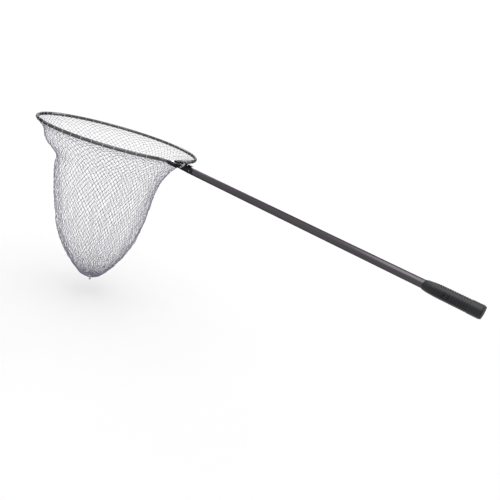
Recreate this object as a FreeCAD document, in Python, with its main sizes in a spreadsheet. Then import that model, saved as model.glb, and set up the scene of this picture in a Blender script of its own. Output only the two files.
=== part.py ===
"""Folding landing net: round hoop with a knotted net bag on a twist-lock telescopic handle.

Millimetres, +Z up. The origin is on the handle's axis, in the middle of the smooth band at the
butt of the grip. The handle runs along -X to the head, the hoop lies level in the XY plane and
the bag hangs down. "Near" is the -Y side and "far" is the +Y side.
"""
import FreeCAD, Part
import math
import os
import re
import Sketcher
from FreeCAD import Placement, Rotation, Vector

os.makedirs("parts", exist_ok=True)
doc = FreeCAD.newDocument("landing_net")

# ---------------------------------------------------------------- driving dimensions

DIMENSIONS = {
    # hoop, and where its centre is along the handle
    "hoop_reach": 1388, "hoop_radius": 300, "hoop_tube_d": 11, "hoop_wall": 1,
    "neck_radius": 30, "arm_spread": 24, "arm_end": 1026,
    # fold hinge
    "hinge_reach": 995, "hinge_height": 14, "hinge_pin_d": 5, "hinge_pin_head_d": 8,
    "knuckle_radius": 6, "running_gap": 0.05, "tongue_half": 8.2, "fork_gap_half": 8.6,
    "fork_half": 10.9, "cheek_reach": 1013, "cheek_height": -3, "cheek_plate": 1.5,
    "cheek_radius": 3.8, "cheek_rivet_d": 6, "cheek_rivet_bore": 3.6,
    "cheek_rivet_head_d": 8.8, "rivet_head": 1.2,
    # yoke on the head
    "yoke_front": 1058, "yoke_back": 1020.5, "yoke_half_height": 6, "yoke_block_top": 7.5,
    "yoke_block_half": 12, "yoke_wall": 3, "yoke_wall_front": 1047, "yoke_wall_top": 13.4,
    "side_plate": 1.5, "side_plate_top": 7.9, "side_plate_foot": 2, "sleeve_d": 15,
    "sleeve_front": 1062, "arm_rivet_reach": 1042, "arm_rivet_d": 4, "arm_rivet_head_d": 7.2,
    "arm_rivet_sink": 0.2, "tongue_back": 989.4,
    # socket on the end of the inner tube
    "socket_front": 989, "socket_back": 956, "socket_bore_front": 984, "ear_front": 1019,
    "ear_back": 977, "ear_bottom": 8.5, "socket_pin_reach": 968, "socket_pin_d": 3,
    # release lever on top of the socket
    "lever_reach": 983, "lever_height": 15.6, "lever_pin_d": 2.5, "lever_pin_head_d": 4.1,
    "lever_pin_head": 0.8, "lever_half": 6.8, "lug_front": 3, "lug_back": 4, "lug_rise": 2.6,
    "lug_half": 9.1, "lug_gap_half": 7.1, "loop_wire_d": 2.2, "loop_half": 5.2,
    "loop_root": 3, "loop_root_rise": 3, "loop_end": 967.5, "loop_height": 17.5,
    "spring_reach": 974.5, "spring_d": 3.6, "spring_wire_d": 0.5, "spring_length": 2.5,
    # telescopic tubes
    "tube_d": 23, "tube_bore": 21, "tube_front": 951, "pole_d": 19.6, "pole_bore": 17.6,
    "pole_back": 58, "bush_flange": 4.5, "bush_depth": 22,
    # twist lock in the back end of the inner tube
    "cam_plug_depth": 30, "cam_flange": 2, "cam_stub_d": 10, "cam_stub_length": 29,
    "cam_offset": 1.5, "expander_d": 20.8, "expander_bore": 14.6, "expander_length": 27,
    "expander_play": 0.5, "expander_slit": 2, "washer_d": 18, "washer_thick": 1, "screw_d": 3,
    "screw_head_d": 6, "screw_depth": 12, "screw_head": 2, "screw_slot": 0.8,
    # grip and butt
    "butt_back": 14, "grip_front": 124, "grip_front_d": 26.4, "grip_ribbed_d": 33.8,
    "grip_d": 34.6, "grip_collar": 48, "grip_band_half": 12.8, "grip_bevel": 1.2, "rib_pitch": 5.6,
    "rib_groove": 2.6, "rib_depth": 1.2, "rib_count": 16, "rib_start": 103, "rib_angle": 60,
    "cap_d": 32, "cap_thick": 3, "cap_bevel": 1, "cap_plug": 20, "cap_dish_d": 19,
    "cap_dish": 1,
    # net
    "bag_top": 9, "bag_depth": 612, "bag_wall": 2, "bag_sway": 16, "tie_bottom": 622,
    "tie_d": 9, "rope_d": 2.6, "twine_d": 1, "lashing_count": 48, "neck_gap_angle": 14,
}

sheet = doc.addObject("Spreadsheet::Sheet", "Dimensions")
for row, (alias, value) in enumerate(DIMENSIONS.items(), start=1):
    sheet.set(f"A{row}", alias)
    sheet.set(f"B{row}", str(value))
    sheet.setAlias(f"B{row}", alias)
doc.recompute()


def size(alias):
    """The sheet's value of one dimension."""
    return float(sheet.get(alias))


def formula(text):
    """An expression of the sheet's aliases, such as "tube_d / 2", in the document's own form."""
    return re.sub(r"[a-z]\w*", lambda word: "Dimensions." + word.group(), text)


def bind(item, **sizes):
    """Ties properties of an object to the sheet. A double underscore stands for a dot."""
    for name, text in sizes.items():
        item.setExpression(name.replace("__", "."), formula(str(text)))
    return item


# ---------------------------------------------------------------- building blocks

TURN = {
    "x": Rotation(Vector(0, 1, 0), 90),
    "y": Rotation(Vector(1, 0, 0), -90),
    "z": Rotation(),
}


def bar(name, along, start, length, radius):
    """A round bar that starts at three expressions and runs along +x, +y or +z."""
    item = doc.addObject("Part::Cylinder", name)
    item.Placement = Placement(Vector(), TURN[along])
    return bind(item, Radius=radius, Height=length, Placement__Base__x=start[0],
                Placement__Base__y=start[1], Placement__Base__z=start[2])


def cone(name, start, length, radius_front, radius_back):
    """A round taper on the handle's axis, from a front x towards the butt."""
    item = doc.addObject("Part::Cone", name)
    item.Placement = Placement(Vector(), TURN["x"])
    return bind(item, Radius1=radius_front, Radius2=radius_back, Height=length,
                Placement__Base__x=start)


def block(name, low, high):
    """A box between two corners, each three expressions."""
    item = doc.addObject("Part::Box", name)
    return bind(item, Placement__Base__x=low[0], Placement__Base__y=low[1],
                Placement__Base__z=low[2], Length=f"({high[0]}) - ({low[0]})",
                Width=f"({high[1]}) - ({low[1]})", Height=f"({high[2]}) - ({low[2]})")


def join(name, *pieces):
    """One solid from pieces that overlap."""
    item = doc.addObject("Part::MultiFuse", name)
    item.Shapes = list(pieces)
    item.Refine = True
    return item


def cut(name, base, *tools):
    """The base with every tool taken away."""
    item = doc.addObject("Part::Cut", name)
    item.Base = base
    item.Tool = tools[0] if len(tools) == 1 else join(name + "_tools", *tools)
    item.Refine = True
    return item


def group(name, *pieces):
    """Separate solids that share one node."""
    item = doc.addObject("Part::Compound", name)
    item.Links = list(pieces)
    return item


def drawn(name, shape, place=Placement()):
    """A node whose shape is made with Part's own functions from the sheet's sizes."""
    item = doc.addObject("Part::Feature", name)
    item.Shape = shape
    item.Placement = place
    return item


def close_outline(sketch, corners, heights):
    """Straight sides through the corners, closed. Heights gives, for a corner's place in the
    list, the expression that drives its distance from the handle's axis."""
    count = len(corners)
    points = [Vector(x, y, 0) for x, y in corners]
    for i in range(count):
        sketch.addGeometry(Part.LineSegment(points[i], points[(i + 1) % count]), False)
    for i in range(count):
        sketch.addConstraint(Sketcher.Constraint("Coincident", i, 2, (i + 1) % count, 1))
    for i, (x, y) in enumerate(corners):
        sketch.addConstraint(Sketcher.Constraint("DistanceX", -1, 1, i, 1, x))
        number = sketch.addConstraint(Sketcher.Constraint("DistanceY", -1, 1, i, 1, y))
        if i in heights:
            sketch.setExpression(f"Constraints[{number}]", formula(heights[i]))
    return sketch


def origin_plane(body, role):
    return next(plane for plane in body.Origin.OriginFeatures if plane.Role == role)


def profile_body(name, role, outline, depth):
    """A PartDesign body: a closed outline of Part edges on an origin plane, padded both ways."""
    body = doc.addObject("PartDesign::Body", name)
    sketch = body.newObject("Sketcher::SketchObject", name + "_outline")
    sketch.AttachmentSupport = [(origin_plane(body, role), "")]
    sketch.MapMode = "FlatFace"
    sketch.addGeometry(outline, False)
    pad = body.newObject("PartDesign::Pad", name + "_pad")
    pad.Profile = sketch
    pad.Midplane = True
    bind(pad, Length=depth)
    body.Tip = pad
    return body


# ---------------------------------------------------------------- handle

def outer_tube():
    skin = bar("outer_tube_skin", "x", ("-tube_front", 0, 0), "tube_front + butt_back", "tube_d / 2")
    bore = bar("outer_tube_bore", "x", ("-tube_front", 0, 0), "tube_front + butt_back",
               "tube_bore / 2")
    return cut("outer_tube", skin, bore)


def mouth_bush():
    """Bush pressed into the mouth of the outer tube, which guides the inner tube."""
    flange = bar("mouth_bush_flange", "x", ("-tube_front - bush_flange", 0, 0), "bush_flange",
                 "tube_d / 2")
    sleeve = bar("mouth_bush_sleeve", "x", ("-tube_front", 0, 0), "bush_depth", "tube_bore / 2")
    bore = bar("mouth_bush_bore", "x", ("-tube_front - bush_flange", 0, 0),
               "bush_flange + bush_depth", "pole_d / 2 + running_gap")
    return cut("mouth_bush", join("mouth_bush_solid", flange, sleeve), bore)


# Distance from the grip's front end, and radius, of the corners of its tapered collar.
GRIP_TAPER = [(10, 14.9), (20, 15.9), (34, 16.6)]


def grip_sleeve():
    """Moulded grip: a turned outline with a tapered collar and a smooth band at the butt, and
    four panels of short cross grooves."""
    body = doc.addObject("PartDesign::Body", "grip_sleeve")
    front, butt = -size("grip_front"), size("butt_back")
    bore, rim, full = size("tube_d") / 2, size("grip_front_d") / 2, size("grip_d") / 2
    bevel, band = size("grip_bevel"), -size("grip_band_half")
    taper = [(front + distance, radius) for distance, radius in GRIP_TAPER]
    outline = [
        (front, bore), (front, rim - bevel), (front + bevel, rim), *taper,
        (front + size("grip_collar"), size("grip_ribbed_d") / 2), (band - bevel, size("grip_ribbed_d") / 2),
        (band, full), (butt - bevel, full), (butt, full - bevel), (butt, bore),
    ]
    heights = {0: "tube_d / 2", 6: "grip_ribbed_d / 2", 7: "grip_ribbed_d / 2",
               8: "grip_d / 2", 9: "grip_d / 2", 10: "grip_d / 2 - grip_bevel", 11: "tube_d / 2"}
    sketch = body.newObject("Sketcher::SketchObject", "grip_outline")
    sketch.AttachmentSupport = [(origin_plane(body, "XZ_Plane"), "")]
    sketch.MapMode = "FlatFace"
    close_outline(sketch, outline, heights)
    solid = body.newObject("PartDesign::Revolution", "grip_turned")
    solid.Profile = sketch
    solid.ReferenceAxis = (sketch, ["H_Axis"])
    solid.Angle = 360
    doc.recompute()
    for role, side, name in (("XY_Plane", -1, "near"), ("XY_Plane", 1, "far"),
                             ("XZ_Plane", 1, "top"), ("XZ_Plane", -1, "under")):
        rib_panel(body, role, side, name)
    return body


def rib_panel(body, role, side, name):
    """One row of cross grooves on one side of the grip."""
    low = side * (size("grip_ribbed_d") / 2 - size("rib_depth"))
    high = side * size("grip_d")
    left = -size("rib_start")
    right = left + size("rib_groove")
    floor = f"{side} * (grip_ribbed_d / 2 - rib_depth)"
    sketch = body.newObject("Sketcher::SketchObject", f"rib_{name}_outline")
    sketch.AttachmentSupport = [(origin_plane(body, role), "")]
    sketch.MapMode = "FlatFace"
    close_outline(sketch, [(left, low), (left, high), (right, high), (right, low)],
                  {0: floor, 3: floor})
    groove = body.newObject("PartDesign::Groove", f"rib_{name}")
    groove.Profile = sketch
    groove.ReferenceAxis = (sketch, ["H_Axis"])
    groove.Midplane = True
    bind(groove, Angle="rib_angle")
    doc.recompute()
    row = body.newObject("PartDesign::LinearPattern", f"rib_{name}_row")
    row.Originals = [groove]
    row.Direction = (sketch, ["H_Axis"])
    bind(row, Length="rib_pitch * (rib_count - 1)", Occurrences="rib_count")
    body.Tip = row
    doc.recompute()


def butt_cap():
    plug = bar("butt_cap_plug", "x", ("butt_back - cap_plug", 0, 0), "cap_plug", "tube_bore / 2")
    disc = bar("butt_cap_disc", "x", ("butt_back", 0, 0), "cap_thick - cap_bevel", "cap_d / 2")
    rim = cone("butt_cap_rim", "butt_back + cap_thick - cap_bevel", "cap_bevel", "cap_d / 2",
               "cap_d / 2 - cap_bevel")
    dish = bar("butt_cap_dish", "x", ("butt_back + cap_thick - cap_dish", 0, 0), "cap_dish",
               "cap_dish_d / 2")
    return cut("butt_cap", join("butt_cap_solid", plug, disc, rim), dish)


# ---------------------------------------------------------------- inner tube and twist lock

def inner_tube():
    start = ("-socket_bore_front", 0, 0)
    length = "socket_bore_front - pole_back"
    skin = bar("inner_tube_skin", "x", start, length, "pole_d / 2")
    bore = bar("inner_tube_bore", "x", start, length, "pole_bore / 2")
    pin_hole = bar("inner_tube_pin_hole", "y", ("-socket_pin_reach", "-tube_d / 2", 0), "tube_d",
                   "socket_pin_d / 2")
    return cut("inner_tube", skin, bore, pin_hole)


def cam_plug():
    """Plug in the inner tube's back end, with the off-centre stub that spreads the expander."""
    spigot = bar("cam_spigot", "x", ("-pole_back - cam_plug_depth", 0, 0), "cam_plug_depth",
                 "pole_bore / 2")
    flange = bar("cam_flange", "x", ("-pole_back", 0, 0), "cam_flange", "pole_d / 2")
    stub = bar("cam_stub", "x", ("-pole_back + cam_flange", 0, "cam_offset"), "cam_stub_length",
               "cam_stub_d / 2")
    hole = bar("cam_screw_hole", "x",
               ("-pole_back + cam_flange + cam_stub_length - screw_depth", 0, 0), "screw_depth",
               "screw_d / 2")
    return cut("cam_plug", join("cam_solid", spigot, flange, stub), hole)


def expander_ring():
    """Split nylon ring that grips the outer tube's bore."""
    start = ("-pole_back + cam_flange + expander_play", 0, 0)
    skin = bar("expander_skin", "x", start, "expander_length", "expander_d / 2")
    bore = bar("expander_bore", "x", start, "expander_length", "expander_bore / 2")
    slit = block("expander_slit", ("-pole_back", "-expander_slit / 2", "-expander_d"),
                 ("-pole_back + 2 * expander_length", "expander_slit / 2", 0))
    return cut("expander_ring", skin, bore, slit)


def expander_washer():
    back = "-pole_back + cam_flange + cam_stub_length"
    disc = bar("washer_disc", "x", (back, 0, 0), "washer_thick", "washer_d / 2")
    hole = bar("washer_hole", "x", (back, 0, 0), "washer_thick", "screw_d / 2")
    return cut("expander_washer", disc, hole)


def expander_screw():
    stub_back = "-pole_back + cam_flange + cam_stub_length"
    shank = bar("screw_shank", "x", (stub_back + " - screw_depth", 0, 0),
                "screw_depth + washer_thick", "screw_d / 2")
    head = bar("screw_head", "x", (stub_back + " + washer_thick", 0, 0), "screw_head",
               "screw_head_d / 2")
    slot = block("screw_slot",
                 (stub_back + " + washer_thick + screw_head / 2", "-screw_head_d", "-screw_slot / 2"),
                 (stub_back + " + washer_thick + screw_head", "screw_head_d", "screw_slot / 2"))
    return cut("expander_screw", join("screw_solid", shank, head), slot)


# ---------------------------------------------------------------- hinge on the inner tube

def hinge_socket():
    """Moulded socket on the inner tube. Its two ears hold the hinge pin above the tube, so that
    the head can fold right over the handle, and two lugs on top hold the release lever."""
    barrel = bar("socket_barrel", "x", ("-socket_front", 0, 0), "socket_front - socket_back",
                 "tube_d / 2")
    ears = block("socket_ears", ("-ear_front", "-fork_half", "-ear_bottom"),
                 ("-ear_back", "fork_half", "yoke_half_height"))
    post = block("socket_post", ("-hinge_reach - knuckle_radius", "-fork_half", 0),
                 ("-hinge_reach + knuckle_radius", "fork_half", "hinge_height"))
    eye = bar("socket_eye", "y", ("-hinge_reach", "-fork_half", "hinge_height"), "2 * fork_half",
              "knuckle_radius")
    lugs = block("socket_lugs", ("-lever_reach - lug_front", "-lug_half", 0),
                 ("-lever_reach + lug_back", "lug_half", "lever_height + lug_rise"))
    slot = block("socket_slot", ("-ear_front - knuckle_radius", "-fork_gap_half", "-2 * tube_d"),
                 ("-socket_front", "fork_gap_half", "2 * tube_d"))
    lug_gap = block("socket_lug_gap", ("-socket_front", "-lug_gap_half", "tube_d / 2"),
                    ("-ear_back", "lug_gap_half", "2 * tube_d"))
    bore = bar("socket_bore", "x", ("-socket_bore_front", 0, 0), "socket_bore_front - socket_back",
               "pole_d / 2")
    pin_hole = bar("socket_hinge_hole", "y", ("-hinge_reach", "-fork_half", "hinge_height"),
                   "2 * fork_half", "hinge_pin_d / 2")
    rivet_hole = bar("socket_rivet_hole", "y", ("-cheek_reach", "-fork_half", "cheek_height"),
                     "2 * fork_half", "cheek_rivet_d / 2")
    cross_hole = bar("socket_cross_hole", "y", ("-socket_pin_reach", "-tube_d / 2", 0), "tube_d",
                     "socket_pin_d / 2")
    lever_hole = bar("socket_lever_hole", "y", ("-lever_reach", "-lug_half", "lever_height"),
                     "2 * lug_half", "lever_pin_d / 2")
    solid = join("socket_solid", barrel, ears, post, eye, lugs)
    return cut("hinge_socket", solid, slot, lug_gap, bore, pin_hole, rivet_hole, cross_hole,
               lever_hole)


def cheek_strap(side, name):
    """Steel strap outside one ear, from the hollow rivet up to the hinge pin."""
    pin = Vector(-size("hinge_reach"), size("hinge_height"), 0)
    rivet = Vector(-size("cheek_reach"), size("cheek_height"), 0)
    radius = size("cheek_radius")
    along = (pin - rivet).normalize()
    across = Vector(-along.y, along.x, 0) * radius
    outline = [
        Part.LineSegment(rivet - across, pin - across),
        Part.Arc(pin - across, pin + along * radius, pin + across),
        Part.LineSegment(pin + across, rivet + across),
        Part.Arc(rivet + across, rivet - along * radius, rivet - across),
    ]
    plate = profile_body(name + "_plate", "XZ_Plane", outline, "cheek_plate")
    middle = f"{side} * (fork_half + cheek_plate / 2)"
    bind(plate, Placement__Base__y=middle)
    low = f"{middle} - cheek_plate"
    pin_hole = bar(name + "_pin_hole", "y", ("-hinge_reach", low, "hinge_height"),
                   "2 * cheek_plate", "hinge_pin_d / 2")
    rivet_hole = bar(name + "_rivet_hole", "y", ("-cheek_reach", low, "cheek_height"),
                     "2 * cheek_plate", "cheek_rivet_d / 2")
    return cut(name, plate, pin_hole, rivet_hole)


def cheek_rivets():
    """Hollow rivets, one through each ear and its strap, flush inside the fork."""
    pair = []
    for side, name in ((-1, "near"), (1, "far")):
        inner, outer = "fork_gap_half", "fork_half + cheek_plate"
        shank_low = inner if side > 0 else f"-({outer})"
        head_low = outer if side > 0 else f"-({outer}) - rivet_head"
        shank = bar(f"rivet_shank_{name}", "y", ("-cheek_reach", shank_low, "cheek_height"),
                    f"{outer} - {inner}", "cheek_rivet_d / 2")
        head = bar(f"rivet_head_{name}", "y", ("-cheek_reach", head_low, "cheek_height"),
                   "rivet_head", "cheek_rivet_head_d / 2")
        bore = bar(f"rivet_bore_{name}", "y",
                   ("-cheek_reach", f"{side} * fork_half - fork_gap_half", "cheek_height"),
                   "2 * fork_gap_half", "cheek_rivet_bore / 2")
        pair.append(cut(f"rivet_{name}", join(f"rivet_solid_{name}", shank, head), bore))
    return group("cheek_rivets", *pair)


def headed_pin(name, reach, height, half_length, radius, head_radius, head):
    """A pin across the handle with a flat head at each end."""
    place = (f"-{reach}", f"-({half_length})", height)
    shank = bar(name + "_shank", "y", place, f"2 * ({half_length})", radius)
    near = bar(name + "_near_head", "y", (place[0], f"-({half_length}) - {head}", height), head,
               head_radius)
    far = bar(name + "_far_head", "y", (place[0], half_length, height), head, head_radius)
    return join(name, shank, near, far)


def socket_pin():
    return bar("socket_pin", "y", ("-socket_pin_reach", "-tube_d / 2", 0), "tube_d",
               "socket_pin_d / 2")


# ---------------------------------------------------------------- release lever

# Corners of the lever's side, along the handle and up from its pivot: the nose, the straight
# top that the wire lies in, the tail, and the underside that rises towards the tail.
LEVER_SIDE = [(-5.2, 1.2), (-5.2, 3.0), (10, 2.2), (10, -0.8), (3, -2.2), (-2, -2.2)]


def release_lever():
    """Lever between the socket's lugs. Its nose points at the knuckle of the yoke, and a wire
    loop that lies along its top is pressed down with the thumb."""
    pivot = Vector(-size("lever_reach"), size("lever_height"), 0)
    corners = [pivot + Vector(x, z, 0) for x, z in LEVER_SIDE]
    outline = [Part.LineSegment(corners[i - 1], corners[i]) for i in range(len(corners))]
    plate = profile_body("lever_plate", "XZ_Plane", outline, "2 * lever_half")
    hole = bar("lever_hole", "y", ("-lever_reach", "-lever_half", "lever_height"),
               "2 * lever_half", "lever_pin_d / 2 + running_gap")
    return cut("release_lever", plate, hole, wire_loop("lever_wire_groove"))


def wire_loop(name):
    """Round wire bent to a loop: two straight legs that lie in the lever's top and a round end,
    which stands over the handle."""
    half = size("loop_half")
    root_x = -size("lever_reach") - size("loop_root")
    root_z = size("lever_height") + size("loop_root_rise")
    run = -size("loop_end") - root_x
    rise = math.degrees(math.atan2(size("loop_height") - root_z, run))
    path = Part.Wire([
        Part.LineSegment(Vector(0, half, 0), Vector(run, half, 0)).toShape(),
        Part.Arc(Vector(run, half, 0), Vector(run + half, 0, 0), Vector(run, -half, 0)).toShape(),
        Part.LineSegment(Vector(run, -half, 0), Vector(0, -half, 0)).toShape(),
    ])
    section = Part.Wire([Part.Circle(Vector(0, half, 0), Vector(1, 0, 0),
                                     size("loop_wire_d") / 2).toShape()])
    place = Placement(Vector(root_x, 0, root_z), Rotation(Vector(0, 1, 0), -rise))
    return drawn(name, path.makePipeShell([section], True, True), place)


def lever_spring():
    """Compression spring between the socket's flat and the lever's tail."""
    turns = 3
    radius = (size("spring_d") - size("spring_wire_d")) / 2
    height = size("spring_length") - size("spring_wire_d")
    helix = Part.makeHelix(height / turns, height, radius)
    start = Vector(radius, 0, 0)
    section = Part.Wire([Part.Circle(start, Vector(0, 1, 0), size("spring_wire_d") / 2).toShape()])
    coil = Part.Wire(helix.Edges).makePipeShell([section], True, True)
    foot = Vector(-size("spring_reach"), 0, size("tube_d") / 2 + size("spring_wire_d") / 2)
    return drawn("lever_spring", coil, Placement(foot, Rotation()))


# ---------------------------------------------------------------- head

def yoke():
    """Moulded yoke: two sleeves for the hoop's arms, a web between them with a raised block, and
    a tongue that carries the hinge knuckle. The tongue's end is the stop against the socket.
    The block has a wall along each side, and the release loop fits between the walls when the
    head is folded over the handle."""
    web = block("yoke_web", ("-yoke_front", "-arm_spread", "-yoke_half_height"),
                ("-yoke_back", "arm_spread", "yoke_half_height"))
    raised = block("yoke_block", ("-yoke_front", "-yoke_block_half", "-yoke_block_top"),
                   ("-yoke_back", "yoke_block_half", "yoke_block_top"))
    tongue = block("yoke_tongue", ("-yoke_back - 1", "-tongue_half", "-yoke_block_top"),
                   ("-tongue_back", "tongue_half", "yoke_block_top"))
    post = block("yoke_post", ("-hinge_reach - knuckle_radius", "-tongue_half", 0),
                 ("-tongue_back", "tongue_half", "hinge_height"))
    knuckle = bar("yoke_knuckle", "y", ("-hinge_reach", "-tongue_half", "hinge_height"),
                  "2 * tongue_half", "knuckle_radius")
    pin_hole = bar("yoke_pin_hole", "y", ("-hinge_reach", "-tongue_half", "hinge_height"),
                   "2 * tongue_half", "hinge_pin_d / 2 + running_gap")
    solids = [web, raised, tongue, post, knuckle]
    holes = [pin_hole]
    for side, name in ((-1, "near"), (1, "far")):
        y = f"{side} * arm_spread"
        inner, outer = "(yoke_block_half - yoke_wall)", "yoke_block_half"
        low, high = (inner, outer) if side > 0 else (f"-{outer}", f"-{inner}")
        solids.append(block(f"yoke_wall_{name}", ("-yoke_wall_front", low, 0),
                            ("-yoke_back", high, "yoke_wall_top")))
        holes.append(side_plate_blank(f"yoke_plate_slot_{name}", side))
        solids.append(bar(f"yoke_sleeve_{name}", "x", ("-sleeve_front", y, 0),
                          "sleeve_front - yoke_back", "sleeve_d / 2"))
        holes.append(bar(f"yoke_sleeve_bore_{name}", "x", ("-sleeve_front", y, 0),
                         "sleeve_front - arm_end", "hoop_tube_d / 2"))
        holes.append(bar(f"yoke_rivet_hole_{name}", "z", ("-arm_rivet_reach", y, "-sleeve_d"),
                         "2 * sleeve_d", "arm_rivet_d / 2"))
        seat = "sleeve_d / 2 - arm_rivet_sink"
        holes.append(bar(f"yoke_rivet_seat_{name}", "z", ("-arm_rivet_reach", y, seat),
                         "rivet_head", "arm_rivet_head_d / 2"))
        holes.append(bar(f"yoke_rivet_seat_under_{name}", "z",
                         ("-arm_rivet_reach", y, f"-({seat}) - rivet_head"), "rivet_head",
                         "arm_rivet_head_d / 2"))
    return cut("yoke", join("yoke_solid", *solids), *holes)


def side_plate_blank(name, side):
    """Upright plate against one side of the yoke's raised block, let into the web."""
    inner, outer = "yoke_block_half", "(yoke_block_half + side_plate)"
    low, high = (inner, outer) if side > 0 else (f"-{outer}", f"-{inner}")
    return block(name, ("-yoke_front", low, "-side_plate_foot"),
                 ("-yoke_back", high, "side_plate_top"))


def yoke_plate(side, name):
    """Steel plate moulded into the yoke, against the outside of one of its walls."""
    return side_plate_blank(name, side)


def hoop_path():
    """Centre line of the hoop: two straight arms, two neck arcs and the round of the hoop."""
    ring, neck = size("hoop_radius"), size("neck_radius")
    spread, end = size("arm_spread"), -size("arm_end")
    centre = Vector(-size("hoop_reach"), 0, 0)
    neck_x = math.sqrt((ring + neck) ** 2 - (spread + neck) ** 2)
    neck_centre = centre + Vector(neck_x, spread + neck, 0)
    to_neck = (neck_centre - centre).normalize()
    on_ring = centre + to_neck * ring
    on_arm = neck_centre - Vector(0, neck, 0)
    neck_middle = neck_centre - (to_neck + Vector(0, 1, 0)).normalize() * neck
    arm_tip = Vector(end, spread, 0)

    def near(point):
        return Vector(point.x, -point.y, point.z)

    return Part.Wire([
        Part.LineSegment(arm_tip, on_arm).toShape(),
        Part.Arc(on_arm, neck_middle, on_ring).toShape(),
        Part.Arc(on_ring, centre - Vector(ring, 0, 0), near(on_ring)).toShape(),
        Part.Arc(near(on_ring), near(neck_middle), near(on_arm)).toShape(),
        Part.LineSegment(near(on_arm), near(arm_tip)).toShape(),
    ])


def hoop_tube():
    path = hoop_path()
    tip = Vector(-size("arm_end"), size("arm_spread"), 0)
    solids = []
    for radius in (size("hoop_tube_d") / 2, size("hoop_tube_d") / 2 - size("hoop_wall")):
        section = Part.Wire([Part.Circle(tip, Vector(1, 0, 0), radius).toShape()])
        solids.append(path.makePipeShell([section], True, True))
    skin, bore = solids
    tube = skin.cut(bore)
    for side in (-1, 1):
        place = Vector(-size("arm_rivet_reach"), side * size("arm_spread"), -size("sleeve_d"))
        tube = tube.cut(Part.makeCylinder(size("arm_rivet_d") / 2, 2 * size("sleeve_d"), place))
    return drawn("hoop_tube", tube)


def arm_rivets():
    """Rivets down through each sleeve and the hoop arm in it."""
    pair = []
    for side, name in ((-1, "near"), (1, "far")):
        x, y = "-arm_rivet_reach", f"{side} * arm_spread"
        shank = bar(f"arm_rivet_shank_{name}", "z", (x, y, "-sleeve_d / 2"), "sleeve_d",
                    "arm_rivet_d / 2")
        top = bar(f"arm_rivet_top_{name}", "z", (x, y, "sleeve_d / 2 - arm_rivet_sink"),
                  "rivet_head", "arm_rivet_head_d / 2")
        under = bar(f"arm_rivet_under_{name}", "z",
                    (x, y, "-sleeve_d / 2 + arm_rivet_sink - rivet_head"), "rivet_head",
                    "arm_rivet_head_d / 2")
        pair.append(join(f"arm_rivet_{name}", shank, top, under))
    return group("arm_rivets", *pair)


def ring_angles():
    """The arc of the hoop that carries the net: all of it but the gap at the neck."""
    gap = size("neck_gap_angle")
    return gap, 360 - gap


def head_rope():
    """Rope under the hoop that the top row of meshes is strung on."""
    first, last = ring_angles()
    drop = -(size("hoop_tube_d") + size("rope_d")) / 2
    centre = Vector(-size("hoop_reach"), 0, drop)
    circle = Part.Circle(centre, Vector(0, 0, 1), size("hoop_radius"))
    path = Part.Wire([circle.toShape(math.radians(first), math.radians(last))])
    start = path.Vertexes[0].Point
    along = Vector(0, 0, 1).cross(start - centre)
    section = Part.Wire([Part.Circle(start, along, size("rope_d") / 2).toShape()])
    return drawn("head_rope", path.makePipeShell([section], True, True))


def lashings():
    """Twine loops round the hoop and the head rope, evenly spaced."""
    first, last = ring_angles()
    count = int(size("lashing_count"))
    twine = size("twine_d") / 2
    reach = size("hoop_tube_d") / 2 + size("rope_d")
    loop_radius = (size("hoop_tube_d") + size("rope_d")) / 2 + twine
    middle = (size("hoop_tube_d") / 2 - reach) / 2
    loops = []
    for i in range(count):
        angle = math.radians(first + (last - first) * (i + 0.5) / count)
        place = Vector(-size("hoop_reach") + size("hoop_radius") * math.cos(angle),
                       size("hoop_radius") * math.sin(angle), middle)
        along = Vector(-math.sin(angle), math.cos(angle), 0)
        loops.append(Part.makeTorus(loop_radius, twine, place, along))
    return drawn("lashings", Part.makeCompound(loops))


# Radius of the hanging bag at parts of its depth: a short flare under the hoop, a long tube that
# swells a little, and a rounded point.
BAG_PROFILE = [(0.0, 296), (0.05, 270), (0.12, 238), (0.2, 208), (0.3, 197), (0.42, 188),
               (0.55, 172), (0.68, 150), (0.8, 118), (0.9, 78), (0.97, 36), (1.0, 6)]
SWAY_DIRECTION = Vector(-0.76, -0.65, 0)


def bag_solid(inset):
    """Loft through level circles, drawn in by inset, whose centres sway a little to one side."""
    top, depth = -size("bag_top"), size("bag_depth") - size("bag_top") - inset
    centre = Vector(-size("hoop_reach"), 0, 0)
    rings = []
    for part, radius in BAG_PROFILE:
        sway = SWAY_DIRECTION * size("bag_sway") * math.sin(math.pi * part)
        place = centre + sway + Vector(0, 0, top - depth * part)
        circle = Part.Circle(place, Vector(0, 0, 1), max(radius - inset, 3))
        rings.append(Part.Wire([circle.toShape()]))
    return Part.makeLoft(rings, True, False)


def net_bag():
    """The bag as a closed shell, open at the hoop."""
    return drawn("net_bag", bag_solid(0).cut(bag_solid(size("bag_wall"))))


def bottom_tie():
    """Knot of the cord that gathers the bottom meshes."""
    place = ("-hoop_reach", 0, "-tie_bottom")
    return bar("bottom_tie", "z", place, "tie_bottom - bag_depth", "tie_d / 2")


# ---------------------------------------------------------------- assembly and export

nodes = [
    outer_tube(), mouth_bush(), grip_sleeve(), butt_cap(),
    inner_tube(), cam_plug(), expander_ring(), expander_washer(), expander_screw(),
    hinge_socket(), cheek_strap(-1, "cheek_strap_near"), cheek_strap(1, "cheek_strap_far"),
    cheek_rivets(), socket_pin(),
    headed_pin("hinge_pin", "hinge_reach", "hinge_height", "fork_half + cheek_plate",
               "hinge_pin_d / 2", "hinge_pin_head_d / 2", "rivet_head"),
    release_lever(), wire_loop("release_loop"), lever_spring(),
    headed_pin("lever_pin", "lever_reach", "lever_height", "lug_half", "lever_pin_d / 2",
               "lever_pin_head_d / 2", "lever_pin_head"),
    yoke(), yoke_plate(-1, "yoke_plate_near"), yoke_plate(1, "yoke_plate_far"), hoop_tube(),
    arm_rivets(), head_rope(), lashings(), net_bag(), bottom_tie(),
]
doc.recompute()

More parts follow.
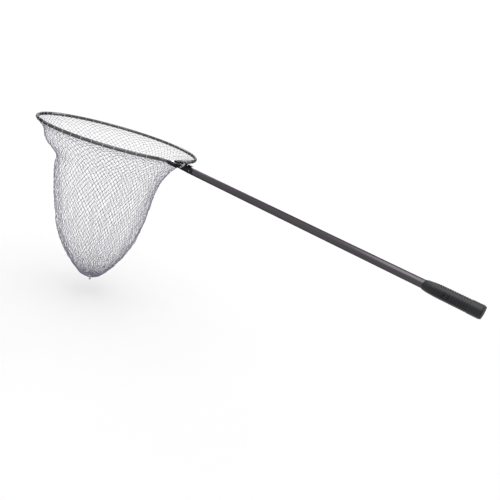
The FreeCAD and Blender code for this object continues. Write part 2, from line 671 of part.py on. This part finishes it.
for item in doc.Objects:
    if "Invalid" in item.State or "Error" in item.State:
        raise RuntimeError(f"{item.Label} did not recompute: {item.State}")
for node in nodes:
    if node.Shape.isNull() or not node.Shape.isValid() or not node.Shape.Solids:
        raise RuntimeError(f"{node.Label} has no valid solid")
for node in nodes:
    node.Shape.exportStep(f"parts/{node.Label}.step")
    box = node.Shape.BoundBox
    print(f"{node.Label:18s} solids {len(node.Shape.Solids):3d} volume {node.Shape.Volume:10.1f} "
          f"x {box.XMin:8.1f} {box.XMax:8.1f} y {box.YMin:7.1f} {box.YMax:7.1f} "
          f"z {box.ZMin:7.1f} {box.ZMax:7.1f}")
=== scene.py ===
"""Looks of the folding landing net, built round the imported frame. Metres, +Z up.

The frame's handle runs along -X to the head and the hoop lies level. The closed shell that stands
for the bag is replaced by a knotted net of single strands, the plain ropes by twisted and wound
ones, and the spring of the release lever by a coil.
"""
import math
import bpy
import numpy as np
from mathutils import Matrix, Vector


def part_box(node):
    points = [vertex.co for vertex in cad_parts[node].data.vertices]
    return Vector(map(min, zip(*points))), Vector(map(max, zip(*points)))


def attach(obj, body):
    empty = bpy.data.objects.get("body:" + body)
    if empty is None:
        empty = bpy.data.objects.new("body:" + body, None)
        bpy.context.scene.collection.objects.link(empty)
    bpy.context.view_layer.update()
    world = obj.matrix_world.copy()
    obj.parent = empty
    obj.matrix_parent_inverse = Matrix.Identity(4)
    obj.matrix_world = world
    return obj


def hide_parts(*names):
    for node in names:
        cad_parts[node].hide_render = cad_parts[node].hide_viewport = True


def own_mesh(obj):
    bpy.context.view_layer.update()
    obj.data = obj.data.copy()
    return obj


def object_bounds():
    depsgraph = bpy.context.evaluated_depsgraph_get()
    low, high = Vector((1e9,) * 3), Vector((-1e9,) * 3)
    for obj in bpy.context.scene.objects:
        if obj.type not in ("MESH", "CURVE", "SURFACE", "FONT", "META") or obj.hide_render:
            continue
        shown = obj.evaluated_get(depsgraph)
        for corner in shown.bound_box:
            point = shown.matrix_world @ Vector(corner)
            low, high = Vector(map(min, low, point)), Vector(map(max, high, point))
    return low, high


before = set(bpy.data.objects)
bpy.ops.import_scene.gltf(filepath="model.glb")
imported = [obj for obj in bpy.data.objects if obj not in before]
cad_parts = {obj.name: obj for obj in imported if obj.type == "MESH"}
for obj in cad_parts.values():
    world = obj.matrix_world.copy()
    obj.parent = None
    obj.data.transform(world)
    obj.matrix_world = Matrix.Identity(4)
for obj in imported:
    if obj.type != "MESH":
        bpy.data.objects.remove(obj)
cad_low, cad_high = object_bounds()
scatter = np.random.default_rng(11)

# ---------------------------------------------------------------- places and constants

UP = np.array([0.0, 0.0, 1.0])

# Places read from the frame.
tube_low, tube_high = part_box("hoop_tube")
rope_low, rope_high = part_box("head_rope")
tie_low, tie_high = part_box("bottom_tie")
HOOP_TUBE = (tube_high[2] - tube_low[2]) / 2
HOOP_RADIUS = (tube_high[1] - tube_low[1]) / 2 - HOOP_TUBE
HOOP_CENTRE = Vector((tube_low[0] + HOOP_RADIUS + HOOP_TUBE, 0, 0))
ROPE = (rope_high[2] - rope_low[2]) / 2
ROPE_Z = (rope_high[2] + rope_low[2]) / 2
CENTRE = np.array(HOOP_CENTRE)

# The net: meshes in a row, the length of a bar between two knots, and the strand's radius.
MESHES_ROUND = 80
BAR = 0.0138
STRAND = 0.00062
BAR_STEPS = 4
# Depth under the hoop, radius, and how far the bag leans towards LEAN at that depth.
BAG = np.array([
    (0.009, 0.297, 0.000), (0.030, 0.264, -0.012), (0.070, 0.243, -0.023),
    (0.120, 0.203, -0.012), (0.180, 0.195, -0.020), (0.250, 0.187, -0.017),
    (0.330, 0.174, -0.012), (0.410, 0.155, -0.011), (0.480, 0.125, -0.008),
    (0.540, 0.088, -0.005), (0.590, 0.048, -0.003), (0.611, 0.006, -0.002),
])
LEAN = math.radians(40.5)
# Each pleat wave: share, waves round the bag, start, and turn for each metre of depth.
PLEATS = [(0.6, 7, 1.3, 5), (0.4, 12, 4, -8)]
PLEAT_REACH = 0.0035
# How far knots and bars stray from their even places (standard deviations), and bars hang down.
KNOT_STRAY = 0.0010
BAR_STRAY = 0.0009
BAR_SAG = 0.0004
# A knot's curve reaches up to three times this size from its middle.
KNOT_SIZE = 0.00036
KNOT_STEPS = 10

WORLD_STRENGTH = 1.06


# ---------------------------------------------------------------- meshes

def build(name, shape, material):
    """One smooth mesh from a shape: its points (n, 3) and its faces (m, 4)."""
    points, faces = shape[0].astype(np.float32), shape[1].astype(np.int32)
    mesh = bpy.data.meshes.new(name)
    mesh.vertices.add(len(points))
    mesh.vertices.foreach_set("co", points.ravel())
    mesh.loops.add(faces.size)
    mesh.loops.foreach_set("vertex_index", faces.ravel())
    mesh.polygons.add(len(faces))
    mesh.polygons.foreach_set("loop_start", np.arange(0, faces.size, 4, dtype=np.int32))
    mesh.polygons.foreach_set("use_smooth", np.ones(len(faces), dtype=bool))
    mesh.update(calc_edges=True)
    mesh.materials.append(material)
    item = bpy.data.objects.new(name, mesh)
    bpy.context.scene.collection.objects.link(item)
    return item


def unit(vectors):
    return vectors / np.linalg.norm(vectors, axis=-1, keepdims=True)


def strands(paths, side, radius, sides, closed=False):
    """Round strands along paths (count, steps, 3). Side is a direction that no path runs along."""
    if closed:
        along = unit(np.roll(paths, -1, axis=1) - np.roll(paths, 1, axis=1))
    else:
        along = unit(np.gradient(paths, axis=1))
    first = unit(np.cross(along, np.broadcast_to(side, paths.shape)))
    second = np.cross(first, along)
    turn = np.arange(sides) * 2 * math.pi / sides
    ring = (np.cos(turn)[:, None] * first[:, :, None, :]
            + np.sin(turn)[:, None] * second[:, :, None, :])
    points = paths[:, :, None, :] + radius * ring
    count, steps = paths.shape[:2]
    index = np.arange(count * steps * sides).reshape(count, steps, sides)
    after = np.roll(index, -1, axis=1)
    if not closed:
        index, after = index[:, :-1], after[:, :-1]
    faces = np.stack([index, np.roll(index, -1, axis=2), np.roll(after, -1, axis=2), after],
                     axis=-1)
    return points.reshape(-1, 3), faces.reshape(-1, 4)


def around(angle):
    """Unit vectors out from the hoop's centre, and along the hoop."""
    zero = np.zeros_like(angle)
    outward = np.stack([np.cos(angle), np.sin(angle), zero], axis=-1)
    onward = np.stack([-np.sin(angle), np.cos(angle), zero], axis=-1)
    return outward, onward


# ---------------------------------------------------------------- materials

def surface(name, color, roughness, metallic=0.0, grain=(300, 300, 300), wear=0.12, matt=0.08,
            bump=0.0, shine=0.5, edge=None):
    """Principled material whose colour, roughness and height vary with a noise of its own.
    Grain is the number of noise cells in a metre along X, Y and Z. Wear is the share by which the
    colour varies each way, and matt the roughness. Shine is the strength of a plain surface's
    reflections, and edge the tint of a metal's at a glancing view."""
    noise_low, noise_high = 0.3, 0.7
    item = bpy.data.materials.new(name)
    item.use_nodes = True
    tree = item.node_tree
    shader = tree.nodes["Principled BSDF"]
    shader.inputs["Metallic"].default_value = metallic
    shader.inputs["Specular IOR Level"].default_value = shine
    if edge is not None:
        shader.inputs["Specular Tint"].default_value = (*edge, 1)
    place = tree.nodes.new("ShaderNodeTexCoord")
    stretch = tree.nodes.new("ShaderNodeMapping")
    stretch.inputs["Scale"].default_value = grain
    noise = tree.nodes.new("ShaderNodeTexNoise")
    noise.inputs["Scale"].default_value = 1.0
    noise.inputs["Detail"].default_value = 5.0
    noise.inputs["Roughness"].default_value = 0.6
    tree.links.new(place.outputs["Object"], stretch.inputs["Vector"])
    tree.links.new(stretch.outputs["Vector"], noise.inputs["Vector"])
    tint = tree.nodes.new("ShaderNodeValToRGB")
    tint.color_ramp.elements[0].position = noise_low
    tint.color_ramp.elements[0].color = (*(c * (1 - wear) for c in color), 1)
    tint.color_ramp.elements[1].position = noise_high
    tint.color_ramp.elements[1].color = (*(min(c * (1 + wear), 1) for c in color), 1)
    tree.links.new(noise.outputs["Fac"], tint.inputs["Fac"])
    tree.links.new(tint.outputs["Color"], shader.inputs["Base Color"])
    spread = tree.nodes.new("ShaderNodeMapRange")
    spread.inputs["From Min"].default_value = noise_low
    spread.inputs["From Max"].default_value = noise_high
    spread.inputs["To Min"].default_value = roughness - matt
    spread.inputs["To Max"].default_value = roughness + matt
    tree.links.new(noise.outputs["Fac"], spread.inputs["Value"])
    tree.links.new(spread.outputs["Result"], shader.inputs["Roughness"])
    if bump:
        relief = tree.nodes.new("ShaderNodeBump")
        relief.inputs["Strength"].default_value = bump
        relief.inputs["Distance"].default_value = 0.0002
        tree.links.new(noise.outputs["Fac"], relief.inputs["Height"])
        tree.links.new(relief.outputs["Normal"], shader.inputs["Normal"])
    return item


TUBE = surface("anodised_tube", (0.072, 0.066, 0.072), roughness=0.24, metallic=1.0,
               grain=(4, 400, 400), matt=0.06, edge=(0.3, 0.3, 0.32))
HOOP = surface("anodised_hoop", (0.095, 0.092, 0.094), roughness=0.24, metallic=1.0,
               grain=(40, 40, 200), wear=0.3, edge=(0.25, 0.25, 0.25))
MOULDING = surface("black_nylon", (0.007, 0.0065, 0.008), roughness=0.55,
                   grain=(900, 900, 900), wear=0.3, bump=0.2, shine=0.1)
RUBBER = surface("grip_rubber", (0.006, 0.0065, 0.009), roughness=0.36,
                 grain=(700, 700, 700), wear=0.25, matt=0.06, bump=0.2, shine=0.3)
CAP = surface("cap_rubber", (0.016, 0.016, 0.018), roughness=0.5,
              grain=(700, 700, 700), wear=0.25, bump=0.2, shine=0.2)
PLAIN = surface("white_nylon", (0.62, 0.62, 0.58), roughness=0.5, wear=0.05, matt=0.05)
STEEL = surface("bright_steel", (0.5, 0.5, 0.54), roughness=0.3, metallic=1.0,
                grain=(200, 900, 900), wear=0.15)
TWINE = surface("twine", (0.62, 0.62, 0.64), roughness=0.8,
                grain=(2500, 2500, 2500), wear=0.25, matt=0.05, bump=0.5, shine=0.2)
FILAMENT = surface("filament", (0.235, 0.22, 0.28), roughness=0.4,
                   grain=(60, 60, 60), wear=0.2, shine=0.3)
# The knots are the same strand as the bars, coloured much darker: painted shade for the tight
# turns inside each knot.
SHADED_KNOTS = surface("filament_knots_painted_shade", (0.07, 0.07, 0.085), roughness=0.5,
                  grain=(90, 90, 90), wear=0.3, shine=0.3)

NODE_MATERIALS = {
    TUBE: ["outer_tube", "inner_tube"],
    HOOP: ["hoop_tube"],
    MOULDING: ["mouth_bush", "hinge_socket", "yoke", "release_lever"],
    RUBBER: ["grip_sleeve"],
    CAP: ["butt_cap"],
    PLAIN: ["cam_plug", "expander_ring"],
    STEEL: ["expander_washer", "expander_screw", "cheek_strap_near", "cheek_strap_far",
            "cheek_rivets", "socket_pin", "hinge_pin", "lever_pin", "lever_spring",
            "release_loop", "arm_rivets", "yoke_plate_near", "yoke_plate_far"],
}
for finish, names in NODE_MATERIALS.items():
    for name in names:
        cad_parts[name].data.materials.clear()
        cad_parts[name].data.materials.append(finish)


# ---------------------------------------------------------------- net

def bag_levels():
    """Depth, radius and lean of each row of knots. Rows are one bar apart along the strands, so
    they close up where the bag is wide and the meshes are pulled open."""
    samples, smoothed_over = 1200, 61
    depth = np.linspace(BAG[0, 0], BAG[-1, 0], samples)
    window = np.hanning(smoothed_over)
    window /= window.sum()

    def smooth(column):
        values = np.interp(depth, BAG[:, 0], BAG[:, column])
        padded = np.pad(values, smoothed_over // 2, mode="reflect", reflect_type="odd")
        return np.convolve(padded, window, "valid")

    radius, lean = smooth(1), smooth(2)
    length = np.concatenate([[0], np.cumsum(np.hypot(np.diff(depth), np.diff(radius)))])
    stops = [0.0]
    while stops[-1] < length[-1]:
        half_mesh = math.pi * np.interp(stops[-1], length, radius) / MESHES_ROUND
        stops.append(stops[-1] + math.sqrt(BAR ** 2 - half_mesh ** 2))
    stops = np.array(stops[:-1])
    return (np.interp(stops, length, values) for values in (depth, radius, lean))


def bag_knots():
    """Places of the knots, (rows, meshes round, 3). Odd rows are half a mesh on."""
    depth, radius, lean = (values[:, None] for values in bag_levels())
    rows = len(depth)
    shift = (np.arange(rows) % 2 / 2)[:, None]
    angle = (np.arange(MESHES_ROUND) + shift) * 2 * math.pi / MESHES_ROUND
    # The pleats come in from 60 to 180 mm below the hoop, and go out from 400 to 600 mm.
    pleated = np.clip((depth - 0.06) / 0.12, 0, 1) * np.clip((0.6 - depth) / 0.2, 0, 1)
    pleats = sum(share * np.sin(waves * angle + start + turn * depth)
                 for share, waves, start, turn in PLEATS)
    reach = radius + lean * np.cos(angle - LEAN) + PLEAT_REACH * pleated * pleats
    outward, _ = around(angle)
    knots = CENTRE + outward * reach[..., None] - UP * depth[..., None]
    # The first three rows are held by the rope, and the narrow point of the bag by its tie.
    slack = np.clip(np.arange(rows) / 3, 0, 1)[:, None] * np.clip(radius / 0.08, 0.1, 1)
    return knots + slack[..., None] * scatter.normal(0, KNOT_STRAY, knots.shape)


def bars(knots):
    """The strands between the knots of each row and the next, (rows - 1, 2 * meshes, steps, 3)."""
    rows = []
    for row in range(len(knots) - 1):
        upper, lower = knots[row], knots[row + 1]
        shifted = np.roll(lower, 1 if row % 2 == 0 else -1, axis=0)
        rows.append(np.stack([np.concatenate([upper, upper]), np.concatenate([lower, shifted])]))
    ends = np.array(rows)
    start, end = ends[:, 0, :, None, :], ends[:, 1, :, None, :]
    part = np.linspace(0, 1, BAR_STEPS)[:, None]
    bow = scatter.normal(0, BAR_STRAY, start.shape) - BAR_SAG * UP
    return start + (end - start) * part + bow * 4 * part * (1 - part)


def knot_shapes(places):
    """A small overhand knot of the strand at each place, each turned and sized a little anew."""
    t = np.arange(KNOT_STEPS) * 2 * math.pi / KNOT_STEPS
    curve = np.stack([np.sin(t) + 2 * np.sin(2 * t), np.cos(t) - 2 * np.cos(2 * t),
                      -np.sin(3 * t)], axis=-1) * KNOT_SIZE
    count = len(places)
    spin = scatter.uniform(0, 2 * math.pi, count)
    never_zero = np.array([1e-6, 0, 0])
    outward = unit((places - CENTRE) * np.array([1, 1, 0]) + never_zero)
    level = np.cross(UP, outward)
    across = np.cos(spin)[:, None] * level + np.sin(spin)[:, None] * UP
    down = np.cross(outward, across)
    axes = np.stack([across, down, outward], axis=1) * scatter.uniform(0.85, 1.2, (count, 1, 1))
    paths = places[:, None, :] + np.einsum("ti,nij->ntj", curve, axes)
    return strands(paths, outward[:, None, :], STRAND * 0.95, sides=4, closed=True)


def make_net():
    """The bag in four bands from the hoop down, each a piece of bars and a piece of knots. The
    top row has no knots, because its meshes hang on the rope, and the last row lies in the tie."""
    bands = 4
    knots = bag_knots()
    lines = bars(knots)
    outward = unit((knots[0] - CENTRE) * np.array([1, 1, 0]))
    bounds = np.linspace(0, len(lines), bands + 1).astype(int)
    pieces = []
    for number, (low, high) in enumerate(zip(bounds[:-1], bounds[1:]), start=1):
        paths = lines[low:high].reshape(-1, BAR_STEPS, 3)
        side = np.tile(outward, (2 * (high - low), 1))[:, None, :]
        part = strands(paths, side, STRAND, sides=4)
        pieces.append(build(f"net_strands_{number}", part, FILAMENT))
        places = knots[max(low, 1):high].reshape(-1, 3)
        # The knots' darker colour is painted shade, not a different filament.
        pieces.append(build(f"net_knots_{number}", knot_shapes(places), SHADED_KNOTS))
    return pieces


def rope_eyes():
    """The turn that each top mesh takes round the head rope."""
    steps = 12
    angle = np.arange(MESHES_ROUND) * 2 * math.pi / MESHES_ROUND
    outward, onward = around(angle)
    turn = np.arange(steps) * 2 * math.pi / steps
    reach = ROPE + STRAND
    centre = CENTRE + outward * HOOP_RADIUS + UP * ROPE_Z
    paths = (centre[:, None, :] + reach * np.cos(turn)[:, None] * outward[:, None, :]
             + reach * np.sin(turn)[:, None] * UP)
    eyes = strands(paths, onward[:, None, :], STRAND, sides=5, closed=True)
    return build("net_eyes", eyes, FILAMENT)


def head_rope():
    """Three yarns laid round each other, all the way round under the hoop."""
    yarns, lays = 3, 200
    steps = lays * 8
    angle = np.arange(steps) * 2 * math.pi / steps
    outward, _ = around(angle)
    paths = []
    for yarn in range(yarns):
        lay = angle * lays + yarn * 2 * math.pi / yarns
        off = ROPE * 0.5 * (np.cos(lay)[:, None] * outward + np.sin(lay)[:, None] * UP)
        paths.append(CENTRE + outward * HOOP_RADIUS + UP * ROPE_Z + off)
    laid = strands(np.array(paths), UP, ROPE * 0.52, sides=6, closed=True)
    return build("twisted_head_rope", laid, TWINE)


def lashings():
    """Two turns of twine round the hoop and the head rope at each lashing. They leave a gap at
    the hoop's necks, stand a little unevenly, and their two turns lie side by side."""
    count, turns, twine, steps_a_turn = 48, 2, 0.00038, 14
    gap, uneven = math.radians(14), 0.004
    places = gap + (2 * math.pi - 2 * gap) * (np.arange(count) + 0.5) / count
    places += scatter.normal(0, uneven, count)
    outward, onward = (v[:, None, :] for v in around(places))
    steps = np.linspace(0, 1, turns * steps_a_turn + 1)
    turn = steps * turns * 2 * math.pi + math.pi / 2
    low, high = ROPE_Z - ROPE - twine * 0.7, HOOP_TUBE + twine * 0.8
    width, height, middle = HOOP_TUBE + twine * 0.8, (high - low) / 2, (high + low) / 2
    creep = (steps - 0.5) * turns * twine * 2.1
    paths = (CENTRE + outward * HOOP_RADIUS + width * np.cos(turn)[:, None] * outward
             + (middle + height * np.sin(turn))[:, None] * UP + creep[:, None] * onward)
    return build("twine_lashings", strands(paths, onward, twine, sides=5), TWINE)


def bottom_tie():
    """Twine wound round the gathered strands, with their cut ends under it."""
    turns, twine, steps_a_turn, ends = 6, 0.0007, 14, 22
    steps = np.linspace(0, 1, turns * steps_a_turn + 1)
    turn = steps * turns * 2 * math.pi
    # The tie starts just over the gathered point, hangs off centre, and is thickest halfway.
    top = tie_high[2] + 0.001
    centre = np.array([(tie_low[0] + tie_high[0]) / 2, 0, top]) + np.array([0.0012, 0.001, 0])
    radius = 0.0032 + 0.0004 * np.sin(steps * math.pi)
    drop = steps * turns * twine * 1.9
    wound = centre + np.stack([radius * np.cos(turn), radius * np.sin(turn), -drop], axis=-1)
    # Each cut end starts inside the tie, flares out as it falls, and has a length of its own.
    angle = scatter.uniform(0, 2 * math.pi, ends)
    reach = scatter.uniform(0.0, 0.0024, ends)
    flare = scatter.uniform(0.0008, 0.003, ends)
    length = scatter.uniform(0.010, 0.0145, ends)
    fall = np.linspace(0, 1, 6)
    outward, _ = around(angle)
    spread = reach[:, None] + flare[:, None] * fall ** 2
    cut_ends = (centre + outward[:, None, :] * spread[..., None]
                - UP * (length[:, None] * fall)[..., None])
    knot = build("tie_twine", strands(wound[None], UP, twine, sides=6), TWINE)
    not_along = outward[:, None, :] + 0.01
    tassel = build("tie_ends", strands(cut_ends, not_along, STRAND, sides=5), FILAMENT)
    return knot, tassel


def lever_coil():
    """The release lever's compression spring, built at one length, though the real one shortens as
    the lever goes down.
    """
    low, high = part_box("lever_spring")
    turns, wire, steps_a_turn = 3, 0.00025, 16
    radius = (high[1] - low[1]) / 2 - wire
    steps = np.linspace(0, 1, turns * steps_a_turn + 1)
    turn = steps * turns * 2 * math.pi
    foot = np.array([(low[0] + high[0]) / 2, 0, low[2] + wire])
    rise = high[2] - low[2] - 2 * wire
    path = foot + np.stack([radius * np.cos(turn), radius * np.sin(turn), rise * steps], axis=-1)
    coil = build("lever_coil", strands(path[None], UP, wire, sides=6), STEEL)
    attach(coil, "pole")
    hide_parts("lever_spring")
    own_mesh(coil)


lever_coil()
net_pieces = make_net() + [rope_eyes()]
rope_piece, lashing_piece = head_rope(), lashings()
tie_piece, tie_ends = bottom_tie()
for piece in net_pieces + [rope_piece, lashing_piece, tie_piece, tie_ends]:
    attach(piece, "head")
for piece in net_pieces + [tie_piece, tie_ends]:
    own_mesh(piece)
for piece in net_pieces:
    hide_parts("net_bag")
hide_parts("head_rope")
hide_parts("lashings")
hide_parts("bottom_tie")
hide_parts("bottom_tie")


# ---------------------------------------------------------------- studio

def floor():
    """A square of pale paper just under the bag."""
    half, gap = 8, 0.05
    level = cad_low[2] - gap
    corners = [(-half, -half), (half, -half), (half, half), (-half, half)]
    points = np.array([(CENTRE[0] + x, y, level) for x, y in corners])
    paper = surface("paper", (0.965, 0.965, 0.965), roughness=0.9, grain=(3, 3, 3), wear=0.005,
                    matt=0.02, shine=0.0)
    item = build("floor", (points, np.array([[0, 1, 2, 3]])), paper)


def softbox(name, place, aim, across, along, radiance):
    """An area light that faces its aim, as wide and long as stated, and as bright. It shows only
    in gloss, so the pale floor isn't overexposed: the diffuse light is the world's."""
    data = bpy.data.lights.new(name, "AREA")
    data.shape = "RECTANGLE"
    data.size = across
    data.size_y = along
    data.energy = radiance * math.pi * across * along
    item = bpy.data.objects.new(name, data)
    item.location = place
    item.rotation_euler = (Vector(place) - Vector(aim)).to_track_quat("Z", "Y").to_euler()
    item.visible_diffuse = False
    bpy.context.scene.collection.objects.link(item)


def camera():
    """Low three-quarter view from the near side of the butt, rolled so that the hoop leans."""
    from_hoop = Vector((1.5199, -1.0883, 0.2547))
    heading, dip, roll = (math.radians(a) for a in (35.08, 16.63, 18.35))
    turn = (Matrix.Rotation(heading, 4, "Z") @ Matrix.Rotation(math.pi / 2 - dip, 4, "X")
            @ Matrix.Rotation(roll, 4, "Z"))
    data = bpy.data.cameras.new("camera")
    data.lens = 32.4
    data.sensor_width = 36
    data.clip_start = 0.01
    data.clip_end = 50
    item = bpy.data.objects.new("camera", data)
    item.matrix_world = Matrix.Translation(HOOP_CENTRE + from_hoop) @ turn
    bpy.context.scene.collection.objects.link(item)
    bpy.context.scene.camera = item


floor()
softbox("over_handle", place=(-0.35, -0.6, 1.75), aim=(-0.35, -0.1, 0), across=1.3, along=2.6,
        radiance=2.9)
softbox("behind_hoop", place=(-3.1, 1.0, 1.1), aim=(-1.3, 0, 0), across=1.8, along=1.6,
        radiance=10.0)
softbox("behind_neck", place=(-1.2, 2.2, 0.9), aim=(-1.1, 0.06, 0), across=1.0, along=0.8,
        radiance=9.0)
softbox("far_left", place=(-4.2, -0.4, 1.6), aim=(-1.39, -0.3, 0), across=1.4, along=0.8,
        radiance=6.0)
camera()
world = bpy.data.worlds.new("studio")
bpy.context.scene.world = world
world.use_nodes = True
world.node_tree.nodes["Background"].inputs["Color"].default_value = (1, 1, 1, 1)
world.node_tree.nodes["Background"].inputs["Strength"].default_value = WORLD_STRENGTH
bpy.context.scene.view_settings.view_transform = "Standard"
